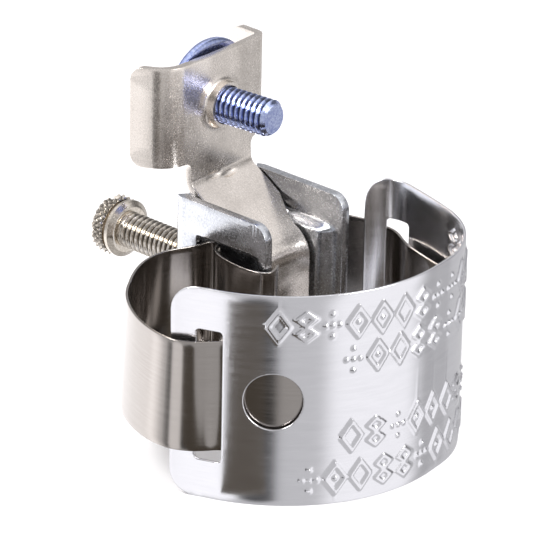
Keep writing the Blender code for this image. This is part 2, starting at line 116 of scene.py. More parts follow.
# Terminal plate. An ear's bend is (start, angle in degrees, radius).
PLATE_SHEET = 1.3
PLATE_RIM = 0.2
SADDLE_HALF_WIDTH = 5.75
SADDLE_CORNER = 0.8
NEAR_NECK_WIDTH = 6.9
FAR_NECK_WIDTH = 7.6
SADDLE_X = 2.7
SADDLE_Z = 2.1
SADDLE_HOLLOW = 1.3
PLATE_BENDS = [(19.78, 0.0), (3.98, 57.0), (13.28, 0.0), (2.388, -57.0), (19.1, 0.0)]
SADDLE_FADE = (15.0, 22.0)
HEAD_START = 42.3
NECK_TAPER = (26.5, 31.0)
HEAD_CORNER_RADIUS = 2.0
NECK_FILLET = 1.2
EAR_REACH = 16.6
NEAR_EAR_BEND = (8.0, 66.0, 4.5)
FAR_EAR_BEND = (9.5, 84.0, 1.45)
HEAD_TWIST = math.radians(4.0)
TERMINAL_SCREW_Z = 45.3
BOSS_RINGS = (3.08, 3.3, 3.6, 3.8, 3.95, 4.2, 4.6, 5.1)
BOSS_HEIGHT = 1.4
BOSS_WALL = (3.6, 3.85)
BOSS_ROOT = (3.8, 4.5)
BOSS_ROOT_SHARE = 0.12
WING_CREASES = (-2.8, 4.9)
WING_SLOPE = 0.05
WING_WIDTH = 5.0
DENT_PLACES = ((38.4, -1.6), (37.6, 1.6))
DENT_REACH = (0.9, 1.9)
DENT_DEPTH = 0.22

# Screws and washer.
THREAD_RADIUS = 2.95
THREAD_DEPTH = 0.58
THREAD_PITCH = 1.0
THREAD_CHAMFER = 0.7
THREAD_STEPS = 128
CREST_SHARE = 0.14
FLANK_SHARE = 0.7
FIT_GAP = 0.3
CLAMP_HEAD_END_X = -34.6
KNURL_LENGTH = 2.45
KNURL_RADIUS = 4.9
KNURL_COUNT = 26
KNURL_DEPTH = 0.42
KNURL_STEPS = 6 * KNURL_COUNT
KNURL_FACE = 0.6
KNURL_FADE = 0.5
GROOVE_LENGTH = 0.4
GROOVE_RADIUS = 3.9
COLLAR_LENGTH = 1.6
COLLAR_RADIUS = 4.7
DRIVER_SLOT_WIDTH = 1.5
DRIVER_SLOT_DEPTH = 1.5
PLAIN_SHANK_X = (-14.6, -12.4)
PLAIN_SHANK_DEPTH = 0.12
WASHER_RADIUS = 9.8
WASHER_GAP = 0.9
WASHER_BORE_RADIUS = 3.3
WASHER_SHEET = 1.2
TERMINAL_TIP = 11.2
PAN_RADIUS = 5.6
PAN_HEIGHT = 3.2
PAN_ROUNDING = 1.3

# Metals: the (dark, light) colours that each one's speckle runs between.
ZINC_TONES = ((0.54, 0.56, 0.60), (0.80, 0.82, 0.86))
NICKEL_TONES = ((0.67, 0.62, 0.57), (0.88, 0.82, 0.76))
SCREW_TONES = ((0.52, 0.47, 0.40), (0.80, 0.74, 0.66))
BLUE_TONES = ((0.28, 0.35, 0.74), (0.60, 0.68, 0.97))
STRAP_TONES = ((0.42, 0.39, 0.365), (0.46, 0.43, 0.405))
TAG_TONES = ((0.76, 0.76, 0.79), (0.85, 0.85, 0.88))
# Painted shade: how dark the colour is painted at the bottom of threads and knurls, standing in for shade
# there.
GROOVE_SHADE_TONE = 0.16

# Studio. Each card is (azimuth, elevation, (inner, outer) reach in degrees, change in brightness).
STUDIO_BASE = 0.62
STUDIO_DARKEST = 0.03
STUDIO_TINT = (1.0, 0.99, 1.01)
STUDIO_CARDS = [
    (28, -24, (9, 14), -0.56),
    (0, -24, (13, 17), 0.62),
    (-22, -24, (7, 12), -0.35),
    (-44, -24, (10, 20), 0.30),
    (-95, -24, (36, 54), 1.05),
    (108, -24, (24, 38), 0.45),
    (148, -24, (6, 16), -0.15),
    (156, 12, (10, 24), -0.45),
    (10, 45, (16, 34), -0.50),
    (-110, 20, (14, 40), -0.20),
    (0, 90, (25, 60), 0.45),
    (120, 35, (8, 26), 0.4),
]

# Shaded patches of the table, in millimetres: an ellipse inside the loops, and an outline before the tag.
SHADE_LIGHT = 0.11
SHADE_COLOUR = (1.0, 0.86, 0.72, 1.0)
SHADE_STEP = 0.02
SHADE_CENTRE = (11.0, -12.0)
SHADE_REACH = (19.0, 24.0)
SHADE_BEFORE_TAG = [(21.8, -35.5), (36.0, -123.0), (75.0, -107.0), (29.5, -32.5)]

# Floor and lights. Each light is (name, place, width, power, colour).
FLOOR_REACH = 6.0
FLOOR_COLOUR = (0.93, 0.93, 0.94, 1.0)
SOFT_LIGHTS = [
    ("key", (-180, -320, 420), 220, 2.2, (1.0, 0.98, 0.96)),
    ("fill", (420, 60, 260), 260, 1.6, (1.0, 0.99, 0.97)),
]

# Camera, aimed from the drawing frame, in millimetres and degrees.
CAMERA_TARGET = (0.0, 0.81, 19.84)
CAMERA_DISTANCE = 626.1
CAMERA_AZIMUTH = 42.45
CAMERA_ELEVATION = 23.86
CAMERA_ROLL = 1.19
CAMERA_LENS = 266.4

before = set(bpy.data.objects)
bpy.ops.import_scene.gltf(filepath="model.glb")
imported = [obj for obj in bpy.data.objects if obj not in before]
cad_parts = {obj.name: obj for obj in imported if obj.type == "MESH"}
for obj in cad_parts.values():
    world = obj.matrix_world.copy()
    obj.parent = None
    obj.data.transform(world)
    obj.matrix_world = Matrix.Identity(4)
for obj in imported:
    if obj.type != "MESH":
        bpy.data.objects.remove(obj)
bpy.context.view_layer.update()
bracket_low, bracket_high = (Vector(corner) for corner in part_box("bracket"))
ORIGIN = Vector((
    bracket_low.x - BRACKET_BACK_X * MM,
    (bracket_low.y + bracket_high.y) / 2,
    bracket_low.z,
))


def place(point):
    """A drawing point, in millimetres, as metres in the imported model's frame."""
    return ORIGIN + MM * Vector(point)


def ramp(value, start, end):
    """0 before start, 1 after end, and smooth between them."""
    share = min(1.0, max(0.0, (value - start) / (end - start)))
    return share * share * (3 - 2 * share)


def spread(start, end, step):
    """Evenly spaced values from start to end, at most a step apart."""
    count = max(1, math.ceil((end - start) / step))
    return [start + (end - start) * i / count for i in range(count + 1)]


# Paths in a plane.


class BentPath:
    """Straight runs and arcs joined end to end. Each bend is (length, turn in degrees, to the left)."""

    def __init__(self, start, heading, bends):
        self.runs = []
        self.length = 0.0
        point = Vector(start)
        angle = math.radians(heading)
        for length, turn in bends:
            self.runs.append((self.length, point.copy(), angle, length, math.radians(turn)))
            point, angle = self._along(self.runs[-1], length)
            self.length += length

    @staticmethod
    def _along(run, distance):
        """The point and heading at a distance along one run."""
        _, point, angle, length, turn = run
        if abs(turn) < 1e-9:
            return point + distance * Vector((math.cos(angle), math.sin(angle))), angle
        radius = length / turn
        end = angle + distance / radius
        offset = Vector((math.sin(end) - math.sin(angle), math.cos(angle) - math.cos(end)))
        return point + radius * offset, end

    def at(self, distance):
        """The point and the unit normal to the left, at a distance along the path."""
        run = self.runs[0]
        for candidate in self.runs[1:]:
            if distance >= candidate[0]:
                run = candidate
        point, heading = self._along(run, distance - run[0])
        return point, Vector((-math.sin(heading), math.cos(heading)))

    def stations(self, turn_step=5.0):
        """Distances at which a sheet that follows this path needs an edge."""
        found = []
        for begin, _, _, length, turn in self.runs:
            steps = max(1, math.ceil(abs(math.degrees(turn)) / turn_step))
            found += [begin + length * i / steps for i in range(steps)]
        return found[1:]


class SmoothRoute:
    """A smooth curve through a few chosen points, measured by the distance along it."""

    def __init__(self, route, steps=10):
        ends = [2 * Vector(route[0]) - Vector(route[1]), 2 * Vector(route[-1]) - Vector(route[-2])]
        knots = [ends[0]] + [Vector(point) for point in route] + [ends[1]]
        self.steps = steps
        self.points = []
        for i in range(1, len(knots) - 2):
            self.points += [self._blend(knots[i - 1 : i + 3], j / steps) for j in range(steps)]
        self.points.append(knots[-2])
        self.marks = [0.0]
        for before, after in zip(self.points, self.points[1:]):
            self.marks.append(self.marks[-1] + (after - before).length)
        self.length = self.marks[-1]

    @staticmethod
    def _blend(knots, share):
        """Catmull-Rom blend between the two middle knots."""
        a, b, c, d = knots
        return 0.5 * (
            2 * b
            + (c - a) * share
            + (2 * a - 5 * b + 4 * c - d) * share**2
            + (3 * b - a - 3 * c + d) * share**3
        )

    def at(self, distance):
        """The point and the unit normal to the left, at a distance along the route."""
        i = min(max(bisect.bisect_right(self.marks, distance) - 1, 0), len(self.marks) - 2)
        share = (distance - self.marks[i]) / (self.marks[i + 1] - self.marks[i])
        point = self.points[i].lerp(self.points[i + 1], share)
        along = self._tangent(i).lerp(self._tangent(i + 1), share).normalized()
        return point, Vector((-along.y, along.x))

    def _tangent(self, i):
        before = self.points[max(i - 1, 0)]
        after = self.points[min(i + 1, len(self.points) - 1)]
        return (after - before).normalized()

    def stations(self):
        return self.marks[1:-1]


# Flat outlines.


def arc_points(centre, radius, start, end, steps):
    """Points of an arc, with its angles in degrees."""
    angles = [math.radians(start + (end - start) * i / steps) for i in range(steps + 1)]
    return [(centre[0] + radius * math.cos(a), centre[1] + radius * math.sin(a)) for a in angles]


def circle(centre, radius, steps=64):
    """Points of a full circle, anticlockwise."""
    return arc_points(centre, radius, 0, 360, steps)[:-1]


def rounded_box(low, high, radius, steps=8):
    """Points of a box with round corners, anticlockwise from the right of its lower edge."""
    (x0, y0), (x1, y1) = low, high
    corners = [(x1 - radius, y0 + radius, -90), (x1 - radius, y1 - radius, 0)]
    corners += [(x0 + radius, y1 - radius, 90), (x0 + radius, y0 + radius, 180)]
    points = []
    for x, y, start in corners:
        points += arc_points((x, y), radius, start, start + 90, steps)
    return points


# Sheet metal.


def fill(mesh, loops):
    """Adds flat faces inside the first loop and outside the others."""
    edges = []
    for loop in loops:
        verts = [mesh.verts.new((x, y, 0)) for x, y in loop]
        edges += [mesh.edges.new(pair) for pair in zip(verts, verts[1:] + verts[:1])]
    bmesh.ops.triangle_fill(mesh, edges=edges, use_beauty=True)


def thicken(mesh, thickness):
    """Turns the flat sheet into a plate with its middle at height 0."""
    made = bmesh.ops.extrude_face_region(mesh, geom=mesh.faces[:])["geom"]
    raised = {item for item in made if isinstance(item, bmesh.types.BMVert)}
    for vert in mesh.verts:
        vert.co.z = thickness / 2 if vert in raised else -thickness / 2
    bmesh.ops.recalc_face_normals(mesh, faces=mesh.faces[:])


def round_rims(mesh, radius):
    """Rounds the sheared edges, where a flat face meets the sheet's side."""
    rims = []
    for edge in mesh.edges:
        level = abs(edge.verts[0].co.z - edge.verts[1].co.z) < 1e-6
        if level and len(edge.link_faces) == 2 and edge.calc_face_angle() > 1.2:
            rims.append(edge)
    bmesh.ops.bevel(
        mesh, geom=rims, offset=radius, offset_type="OFFSET", segments=3, profile=0.5,
        affect="EDGES", clamp_overlap=True,
    )


def cut_across(mesh, axis, places, spare=None):
    """Adds edges across the sheet, where it will bend, but none inside the spared circle."""
    normal = Vector((axis == 0, axis == 1, 0))
    for distance in places:
        faces = mesh.faces[:]
        if spare:
            centre, radius = spare
            faces = [face for face in faces if (face.calc_center_median().xy - centre).length > radius]
        edges = {edge for face in faces for edge in face.edges} if spare else mesh.edges[:]
        verts = {vert for face in faces for vert in face.verts} if spare else mesh.verts[:]
        geometry = [*verts, *edges, *faces]
        bmesh.ops.bisect_plane(mesh, geom=geometry, dist=1e-5, plane_co=normal * distance, plane_no=normal)


def clear_slants(mesh, spare=None):
    """Dissolves the flat faces' slanting edges, so that what is left is a square grid of cells."""
    slants = []
    for edge in mesh.edges:
        start, end = (vert.co for vert in edge.verts)
        flat = len(edge.link_faces) == 2 and all(abs(face.normal.z) > 0.999 for face in edge.link_faces)
        square = abs(start.x - end.x) < 1e-4 or abs(start.y - end.y) < 1e-4
        kept = spare and (((start + end) / 2).xy - spare[0]).length < spare[1] + 0.1
        if flat and not square and not kept:
            slants.append(edge)
    bmesh.ops.dissolve_edges(mesh, edges=slants, use_verts=False, use_face_split=False)


def bend_sheet(name, mesh, bend):
    """Bends the flat plate: bend(along, across, height) gives each point's place in the drawing frame."""
    layer = mesh.loops.layers.uv.new("flat")
    for face in mesh.faces:
        for loop in face.loops:
            loop[layer].uv = loop.vert.co.xy / UV_SPAN
    for vert in mesh.verts:
        vert.co = place(bend(*vert.co))
    bmesh.ops.recalc_face_normals(mesh, faces=mesh.faces[:])
    return new_object(name, mesh)


def new_object(name, mesh):
    """A smooth-shaded object in the scene, made from the mesh, which it frees."""
    data = bpy.data.meshes.new(name)
    mesh.to_mesh(data)
    mesh.free()
    data.shade_smooth()
    data.set_sharp_from_angle(angle=math.radians(CREASE_ANGLE))
    obj = bpy.data.objects.new(name, data)
    bpy.context.scene.collection.objects.link(obj)
    return obj


def dress(obj, material, body, node):
    """Gives a piece its material and its body, and hides the CAD node that it stands for."""
    obj.data.materials.append(material)
    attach(obj, body)
    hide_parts(node)
    return obj


# The pieces.


def bracket_path():
    """The sheet's middle, from the near flange's front edge, round the web, to the far flange's."""
    inner = BRACKET_BEND_RADIUS
    flange = BRACKET_FRONT_X - BRACKET_BACK_X - BRACKET_SHEET / 2 - inner
    web = BRACKET_WIDTH - BRACKET_SHEET - 2 * inner
    quarter = inner * math.pi / 2
    near_y = -(BRACKET_WIDTH - BRACKET_SHEET) / 2
    bends = [(flange, 0.0), (quarter, -90.0), (web, 0.0), (quarter, -90.0), (flange, 0.0)]
    return BentPath((BRACKET_FRONT_X, near_y), 180.0, bends)


def bracket_loops(length):
    """The blank's outline, notched above the web, then the screw's bore and the strap slots."""
    outline = rounded_box((0, 0), (length, BRACKET_HEIGHT), BRACKET_CORNER_RADIUS)
    notch = [(length / 2 + side * NECK_NOTCH_REACH, BRACKET_HEIGHT) for side in (1, -1)]
    floor = [(along, across - NECK_NOTCH_DEPTH) for along, across in notch]
    top = len(outline) // 2
    outline[top:top] = [notch[0], *floor, notch[1]]
    loops = [outline, circle((length / 2, CLAMP_SCREW_Z), THREAD_RADIUS + BORE_GAP, 48)]
    near = sorted(BRACKET_FRONT_X - x for x in STRAP_SLOT_X)
    far = sorted(length - s for s in near)
    for ends in (near, far):
        low_corner, high_corner = zip(ends, STRAP_SLOT_Z)
        loops.append(rounded_box(low_corner, high_corner, STRAP_SLOT_CORNER, 3))
    return loops


def make_bracket():
    """A U of sheet, whose flanges are pressed inwards in front of the strap slots."""
    path = bracket_path()
    mesh = bmesh.new()
    fill(mesh, bracket_loops(path.length))
    thicken(mesh, BRACKET_SHEET)
    round_rims(mesh, BRACKET_RIM)
    press = spread(BRACKET_FRONT_X - PRESS_X[1], BRACKET_FRONT_X - PRESS_X[0], 0.34)
    cut_across(mesh, 0, path.stations() + press + [path.length - s for s in press])
    low, high = STRAP_SLOT_Z[0] - PRESS_MARGIN, STRAP_SLOT_Z[1] + PRESS_MARGIN
    cut_across(mesh, 1, spread(low, low + PRESS_FADE, 0.2) + spread(high - PRESS_FADE, high, 0.2))
    clear_slants(mesh)

    def bend(along, across, height):
        point, outward = path.at(along)
        x = BRACKET_FRONT_X - min(along, path.length - along)
        pressed = PRESS_DEPTH * (1 - ramp(x, *PRESS_X)) * (x > STRAP_SLOT_X[0] + 1)
        pressed *= ramp(across, low, low + PRESS_FADE) * (1 - ramp(across, high - PRESS_FADE, high))
        return Vector((*(point + outward * (height - pressed)), across))

    return bend_sheet("bracket_sheet", mesh, bend)


def tag_path():
    """The tag's outer face, as X and Y, from its near end to its far end."""
    return BentPath(TAG_START, TAG_HEADING, TAG_BENDS)


def near_loop_hump(route, along):
    """0 at both ends of the near loop and beyond them, 1 half way along it."""
    first = len(TAIL_ROUTE) * route.steps
    last = first + len(NEAR_LOOP_ROUTE) * route.steps
    start, end = route.marks[first], route.marks[last]
    share = min(1.0, max(0.0, (along - start) / (end - start)))
    return math.sin(math.pi * share)


def make_strap():
    """The strap runs from the folded tail round the pipe to the hook behind the far flange."""
    tag = tag_path()
    inside = [(tag.at(s)[0] + STRAP_INSIDE_TAG * tag.at(s)[1]).to_tuple() for s in TAG_STATIONS]
    route = SmoothRoute(TAIL_ROUTE + NEAR_LOOP_ROUTE + inside + FAR_LOOP_ROUTE)
    mesh = bmesh.new()
    fill(mesh, [rounded_box((0, -STRAP_WIDTH / 2), (route.length, STRAP_WIDTH / 2), STRAP_CORNER, 3)])
    thicken(mesh, STRAP_SHEET)
    round_rims(mesh, STRAP_RIM)
    cut_across(mesh, 0, route.stations())
    cut_across(mesh, 1, spread(-STRAP_WIDTH / 2 + 1, STRAP_WIDTH / 2 - 1, 2.0))
    clear_slants(mesh)

    def bend(along, across, height):
        point, left = route.at(along)
        lean = STRAP_LEAN * near_loop_hump(route, along) * (across / STRAP_WIDTH - 0.5)
        drop = STRAP_DROP * ramp(along / route.length, 0.3, 0.8)
        return Vector((*(point + (height + lean) * left), STRAP_CENTRE_Z - drop + across))

    return bend_sheet("strap_band", mesh, bend)


def lozenge(x, y, wide, high):
    """Distance from the outline of a lozenge."""
    return abs(abs(x) / wide + abs(y) / high - 1) * wide * high / math.hypot(wide, high)


def ornament(x, y, kind):
    """Distance from the nearest stroke of one abstract embossed mark, centred on (0, 0)."""
    outer = lozenge(x, y, 1.65, 2.3)
    if kind == 0:
        return outer
    if kind == 1:
        return min(outer, math.hypot(x, y))
    if kind == 2:
        return min(math.hypot(x, abs(y) - 1.75), math.hypot(abs(x) - 1.1, y), math.hypot(x, y))
    return lozenge(x, abs(y) - 1.15, 1.3, 1.05)


def embossing(along, across):
    """How far the tag is raised: rows of abstract marks, pressed from inside."""
    for row, (centre, start, end) in enumerate(EMBOSS_ROWS):
        if abs(across - centre) < EMBOSS_REACH and start < along < end:
            index = int((along - start) / EMBOSS_PITCH)
            if start + (index + 1) * EMBOSS_PITCH > end:
                return 0.0
            x = along - start - (index + 0.5) * EMBOSS_PITCH
            distance = ornament(x, across - centre, (index * 3 + row * 2 + index // 4) % 4)
            return EMBOSS_HEIGHT * (1 - ramp(distance, *EMBOSS_STROKE))
    return 0.0


def make_tag():
    """A curved and embossed tag with a hole and a slot at each end for the strap."""
    path = tag_path()
    low, high = TAG_SLOT_Z
    far_end = path.length - TAG_SLOT_MARGIN
    near = (TAG_SLOT_MARGIN, TAG_SLOT_MARGIN + TAG_NEAR_SLOT_WIDTH)
    far = (far_end - TAG_FAR_SLOT_WIDTH, far_end)
    slots = [rounded_box((start, low), (end, high), TAG_SLOT_CORNER, 4) for start, end in (near, far)]
    hole = circle((TAG_HOLE_STATION, TAG_HEIGHT / 2), TAG_HOLE_RADIUS)
    mesh = bmesh.new()
    fill(mesh, [rounded_box((0, 0), (path.length, TAG_HEIGHT), TAG_CORNER_RADIUS), hole, *slots])
    thicken(mesh, TAG_SHEET)
    round_rims(mesh, TAG_RIM)
    for low_edge, high_edge in EMBOSS_BANDS:
        cut_across(mesh, 1, spread(low_edge, high_edge, EMBOSS_GRID))
    first = min(start for _, start, _ in EMBOSS_ROWS)
    last = max(end for _, _, end in EMBOSS_ROWS)
    coarse = spread(0.8, first, 0.8)[:-1] + spread(last, path.length - 0.6, 0.6)[1:]
    cut_across(mesh, 0, coarse + spread(first, last, EMBOSS_GRID))
    clear_slants(mesh)

    def bend(along, across, height):
        point, inward = path.at(along)
        depth = TAG_INSET + TAG_SHEET / 2 + height - embossing(along, across)
        return Vector((*(point + depth * inward), across))

    return bend_sheet("tag_plate", mesh, bend)


def plate_path():
    """The terminal plate's middle surface, as X and Z, from the foot of the saddle up."""
    return BentPath((SADDLE_X, SADDLE_Z), 90.0, PLATE_BENDS)


def plate_side(length, neck):
    """One side of the strip's edge: saddle, neck, fillet, then the head with its ear."""
    corner = HEAD_CORNER_RADIUS
    side = [(0.0, SADDLE_HALF_WIDTH - SADDLE_CORNER), (SADDLE_CORNER, SADDLE_HALF_WIDTH)]
    side += [(NECK_TAPER[0], SADDLE_HALF_WIDTH), (NECK_TAPER[1], neck)]
    side += arc_points((HEAD_START - NECK_FILLET, neck + NECK_FILLET), NECK_FILLET, -90, 0, 8)
    side += arc_points((HEAD_START + corner, EAR_REACH - corner), corner, 180, 90, 8)
    return side + arc_points((length - corner, EAR_REACH - corner), corner, 90, 0, 8)


def ear_path(start, angle, radius):
    """Across the head: flat, then an ear that turns back. The path runs out from the middle."""
    turn = radius * math.radians(angle)
    return BentPath((0, 0), 0.0, [(start, 0.0), (turn, angle), (EAR_REACH, 0.0)])


def collar(distance):
    """Height of the drawn collar round the tapped hole, at a distance from the hole's centre."""
    wall = 1 - ramp(distance, *BOSS_WALL)
    root = 1 - ramp(distance, *BOSS_ROOT)
    return BOSS_HEIGHT * ((1 - BOSS_ROOT_SHARE) * wall + BOSS_ROOT_SHARE * root)


def dent(along, across):
    """Two shallow tool marks low on the neck."""
    depth = 0.0
    for middle, side in DENT_PLACES:
        distance = math.hypot((along - middle) / DENT_REACH[0], (across - side) / DENT_REACH[1])
        depth += DENT_DEPTH * (1 - ramp(distance, 0.3, 1.0))
    return depth


def make_terminal_plate():
    """A cranked strip: hollow saddle below, neck, and a head with two ears and a tapped collar."""
    path = plate_path()
    near_ear = ear_path(*NEAR_EAR_BEND)
    far_ear = ear_path(*FAR_EAR_BEND)
    top = path.at(path.length)[0]
    boss = Vector((path.length - (top.y - TERMINAL_SCREW_Z), 0.0))
    near = plate_side(path.length, NEAR_NECK_WIDTH)
    outline = plate_side(path.length, FAR_NECK_WIDTH) + [(s, -y) for s, y in reversed(near)]
    spare = (boss, BOSS_RINGS[-1])
    mesh = bmesh.new()
    fill(mesh, [outline, circle(boss, BOSS_RINGS[-1])])
    for inner, outer in zip(BOSS_RINGS, BOSS_RINGS[1:]):
        fill(mesh, [circle(boss, outer), circle(boss, inner)])
    bmesh.ops.remove_doubles(mesh, verts=mesh.verts[:], dist=1e-5)
    thicken(mesh, PLATE_SHEET)
    round_rims(mesh, PLATE_RIM)
    cut_across(mesh, 0, path.stations(3.0) + spread(12.0, path.length - 0.5, 0.5), spare)
    folds = far_ear.stations(6.0) + [-s for s in near_ear.stations(6.0)]
    cut_across(mesh, 1, folds + spread(-8.5, 8.5, 0.5), spare)
    clear_slants(mesh, spare)

    def bend(along, across, height):
        ear = far_ear if across > 0 else near_ear
        point, back = ear.at(abs(across))
        lateral = math.copysign(point.x - height * back.x, across)
        forward = height * back.y - point.y
        hollow = 1 - min(1.0, (across / SADDLE_HALF_WIDTH) ** 2)
        forward -= SADDLE_HOLLOW * hollow * (1 - ramp(along, *SADDLE_FADE))
        wing = max(0.0, WING_CREASES[0] - across, across - WING_CREASES[1])
        forward -= WING_SLOPE * min(wing, WING_WIDTH) * ramp(along, HEAD_START - 4, HEAD_START + 3)
        forward -= dent(along, across)
        if height > 0:
            forward += collar(math.hypot(along - boss.x, across))
        middle, left = path.at(along)
        x = middle.x - forward * left.x
        z = middle.y - forward * left.y
        twist = HEAD_TWIST * ramp(along, NECK_TAPER[0], HEAD_START)
        offset = Matrix.Rotation(twist, 2) @ Vector((x - top.x, lateral))
        return Vector((top.x + offset.x, offset.y, z))

    return bend_sheet("terminal_plate_sheet", mesh, bend)


# Turned pieces.


def dense(profile, step):
    """The profile with extra points, so that no stretch is longer than a step."""
    points = [profile[0]]
    for (r0, h0), (r1, h1) in zip(profile, profile[1:]):
        count = max(1, math.ceil(math.hypot(r1 - r0, h1 - h0) / step))
        points += [(r0 + (r1 - r0) * i / count, h0 + (h1 - h0) * i / count) for i in range(1, count + 1)]
    return points


def turned(profile, steps, relief=None):
    """A mesh turned about Z. relief(radius, angle, height) can lower the surface to cut threads or knurls.

    The "groove" layer keeps how deep the surface lies below the profile, in thread depths.
    """
    mesh = bmesh.new()
    groove = mesh.verts.layers.float.new("groove")
    rings = []
    for radius, height in profile:
        if radius < 1e-6:
            rings.append([mesh.verts.new((0, 0, height))] * steps)
            continue
        ring = []
        for i in range(steps):
            angle = 2 * math.pi * i / steps
            reach = relief(radius, angle, height) if relief else radius
            vert = mesh.verts.new((reach * math.cos(angle), reach * math.sin(angle), height))
            vert[groove] = (radius - reach) / THREAD_DEPTH
            ring.append(vert)
        rings.append(ring)
    pairs = list(zip(rings, rings[1:]))
    if profile[0][0] > 1e-6:
        pairs.append((rings[-1], rings[0]))
    for upper, lower in pairs:
        for i in range(steps):
            j = (i + 1) % steps
            corners = [upper[i], lower[i], lower[j], upper[j]]
            mesh.faces.new(list(dict.fromkeys(corners)))
    bmesh.ops.recalc_face_normals(mesh, faces=mesh.faces[:])
    return mesh


def thread_radius(angle, height):
    """A right-hand thread with flat crests and roots, one turn for each pitch."""
    phase = (height / THREAD_PITCH - angle / (2 * math.pi)) % 1.0
    valley = 1 - abs(2 * phase - 1)
    return THREAD_RADIUS - THREAD_DEPTH * min(1.0, max(0.0, (valley - CREST_SHARE) / FLANK_SHARE))


def knurl_drop(angle, height):
    """Depth below the head's surface of a diamond knurl."""
    turns = KNURL_COUNT * angle / (2 * math.pi)
    rise = height / (2 * math.pi * KNURL_RADIUS / KNURL_COUNT)
    left = abs(((turns + rise) % 1.0) * 2 - 1)
    right = abs(((turns - rise) % 1.0) * 2 - 1)
    return KNURL_DEPTH * ramp(1 - min(left, right), 0.1, 1.0)


def stand(mesh, matrix):
    """Puts a turned mesh in place: matrix maps its own frame to the drawing frame."""
    for vert in mesh.verts:
        vert.co = place(matrix @ vert.co)
    return mesh


def cut_slot(obj, matrix, low, high):
    """Cuts a driver slot, given as a box in the piece's own frame, and keeps the finished mesh."""
    mesh = bmesh.new()
    bmesh.ops.create_cube(mesh, size=1.0)
    for vert in mesh.verts:
        vert.co = Vector([high[i] if vert.co[i] > 0 else low[i] for i in range(3)])
    cutter = new_object("slot_cutter", stand(mesh, matrix))
    boolean = obj.modifiers.new("slot", "BOOLEAN")
    boolean.solver = "EXACT"
    boolean.object = cutter
    bpy.context.view_layer.update()
    cut = bpy.data.meshes.new_from_object(obj.evaluated_get(bpy.context.evaluated_depsgraph_get()))
    obj.modifiers.clear()
    obj.data = cut
    cut.shade_smooth()
    cut.set_sharp_from_angle(angle=math.radians(CREASE_ANGLE))
    bpy.data.objects.remove(cutter, do_unlink=True)
    return obj


def make_clamp_screw():
    """Knurled and slotted head, collar and thread. Its own Z runs from the tip back to the head."""
    tip = SADDLE_X - SADDLE_HOLLOW - PLATE_SHEET / 2 - FIT_GAP
    length = tip - CLAMP_HEAD_END_X
    knurl = length - KNURL_LENGTH
    groove = knurl - GROOVE_LENGTH
    collar_foot = groove - COLLAR_LENGTH
    plain = [tip - x for x in reversed(PLAIN_SHANK_X)]
    head = [
        (0, length), (KNURL_RADIUS - KNURL_FACE, length), (KNURL_RADIUS - 0.25, length - 0.12),
        (KNURL_RADIUS, length - 0.45), (KNURL_RADIUS, knurl + 0.35), (KNURL_RADIUS - 0.35, knurl),
        (GROOVE_RADIUS, knurl), (GROOVE_RADIUS, groove), (COLLAR_RADIUS - 0.25, groove),
        (COLLAR_RADIUS, groove - 0.25), (COLLAR_RADIUS, collar_foot + 0.75),
        (COLLAR_RADIUS - 0.75, collar_foot + 0.1), (COLLAR_RADIUS - 0.95, collar_foot),
        (THREAD_RADIUS, collar_foot),
    ]
    shank = [(THREAD_RADIUS, collar_foot), (THREAD_RADIUS, THREAD_CHAMFER)]
    shank.append((THREAD_RADIUS - THREAD_CHAMFER, 0))
    profile = dense(head, 0.16) + dense(shank, THREAD_PITCH / 12)[1:] + [(0, 0)]

    face = KNURL_RADIUS - KNURL_FACE

    def relief(radius, angle, height):
        if height > knurl + 0.05:
            return radius - knurl_drop(angle, height) * ramp(radius, face, face + KNURL_FADE)
        if height > collar_foot - 0.01:
            return radius
        smooth = ramp(height, plain[0] - 0.3, plain[0]) * (1 - ramp(height, plain[1], plain[1] + 0.3))
        fade = max(smooth, ramp(height, collar_foot - 0.8, collar_foot - 0.2))
        thread = thread_radius(angle, height)
        return min(radius, thread + (THREAD_RADIUS - PLAIN_SHANK_DEPTH - thread) * fade)

    matrix = Matrix.Translation((tip, 0, CLAMP_SCREW_Z)) @ Matrix.Rotation(-math.pi / 2, 4, "Y")
    screw = new_object("clamp_screw_turned", stand(turned(profile, KNURL_STEPS, relief), matrix))
    reach = KNURL_RADIUS + 1
    half = DRIVER_SLOT_WIDTH / 2
    return cut_slot(screw, matrix, (-reach, -half, length - DRIVER_SLOT_DEPTH), (reach, half, length + 1))


def terminal_matrix():
    """The terminal screw's frame: its own Z runs from behind the plate towards the tip."""
    top = plate_path().at(plate_path().length)[0]
    turn = Matrix.Rotation(HEAD_TWIST, 4, "Z") @ Matrix.Rotation(math.pi / 2, 4, "Y")
    return Matrix.Translation((top.x, 0, TERMINAL_SCREW_Z)) @ turn


def make_terminal_washer():
    """A flat washer behind the plate's head, with broken edges."""
    foot = -(PLATE_SHEET / 2 + WASHER_GAP + WASHER_SHEET)
    top = foot + WASHER_SHEET
    bore = WASHER_BORE_RADIUS
    rim = WASHER_RADIUS
    profile = [
        (bore, top - 0.15), (bore + 0.15, top), (rim - 0.35, top), (rim - 0.1, top - 0.12),
        (rim, top - 0.35), (rim, foot + 0.35), (rim - 0.1, foot + 0.12), (rim - 0.35, foot),
        (bore + 0.15, foot), (bore, foot + 0.15),
    ]
    disc = turned(dense(profile, 1.0), THREAD_STEPS)
    return new_object("terminal_washer_disc", stand(disc, terminal_matrix()))


